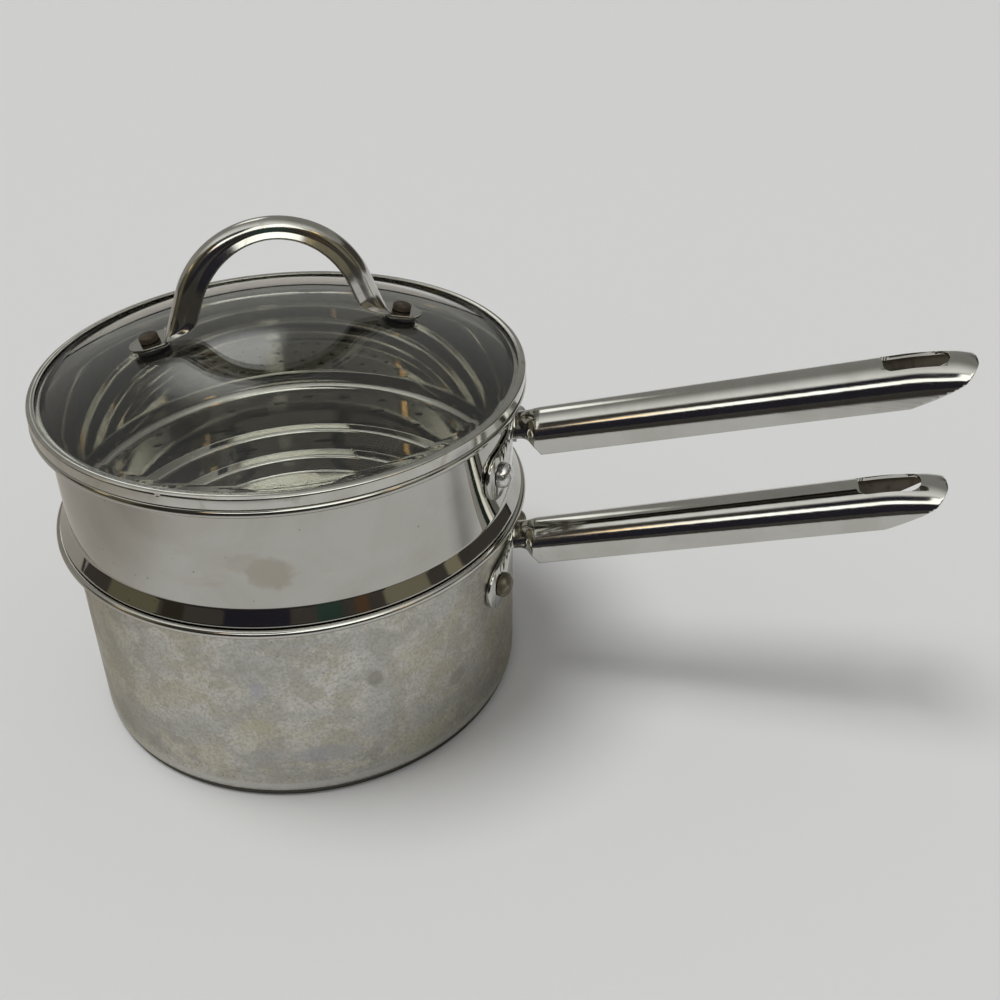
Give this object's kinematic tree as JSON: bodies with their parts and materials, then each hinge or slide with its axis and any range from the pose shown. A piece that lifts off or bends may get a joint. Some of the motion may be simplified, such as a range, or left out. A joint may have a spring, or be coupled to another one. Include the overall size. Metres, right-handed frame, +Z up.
{
  "type": "saucepan with steamer",
  "caption": "Straight-sided saucepan with a stepped steamer insert and a domed glass lid, each with a metal handle.",
  "frame": {"origin": "centre of the saucepan's base, on the surface that it stands on", "axes": "+Z up along the common axis of saucepan, steamer and lid; both long handles point along +X"},
  "size_m": [0.3484, 0.1902, 0.2012],
  "materials": {
    "satin_steel": "satin, stained with use",
    "mirror_steel": "mirror polished",
    "handle_steel": "polished, lightly worn",
    "heat_disc_aluminium": "plain",
    "tarnished_rivet": "tarnished",
    "bright_rivet": "polished",
    "clear_glass": "clear, faintly grey-green, finely scratched",
    "seal_rubber": "matt"
  },
  "bodies": {
    "saucepan": {"saucepan_shell": "satin_steel", "saucepan_base_cap": "satin_steel", "saucepan_heat_disc": "heat_disc_aluminium", "saucepan_handle": "handle_steel", "saucepan_rivet_near": "tarnished_rivet", "saucepan_rivet_far": "tarnished_rivet"},
    "steamer": {"steamer_shell": "mirror_steel", "steamer_handle": "handle_steel", "steamer_rivet_near": "bright_rivet", "steamer_rivet_far": "bright_rivet"},
    "lid": {"lid_glass": "clear_glass", "lid_rim_band": "handle_steel", "lid_handle": "handle_steel", "lid_rivet_left": "tarnished_rivet", "lid_rivet_right": "tarnished_rivet", "lid_outer_seal_left": "seal_rubber", "lid_outer_seal_right": "seal_rubber", "lid_inner_seal_left": "seal_rubber", "lid_inner_seal_right": "seal_rubber", "lid_inner_washer_left": "satin_steel", "lid_inner_washer_right": "satin_steel"}
  },
  "joints": [
    {"name": "steamer_lift", "type": "slide", "parent": "saucepan", "child": "steamer", "axis": [0, 0, 1], "range_m": [0, 0.12]},
    {"name": "lid_lift", "type": "slide", "parent": "steamer", "child": "lid", "axis": [0, 0, 1], "range_m": [0, 0.08]}
  ]
}
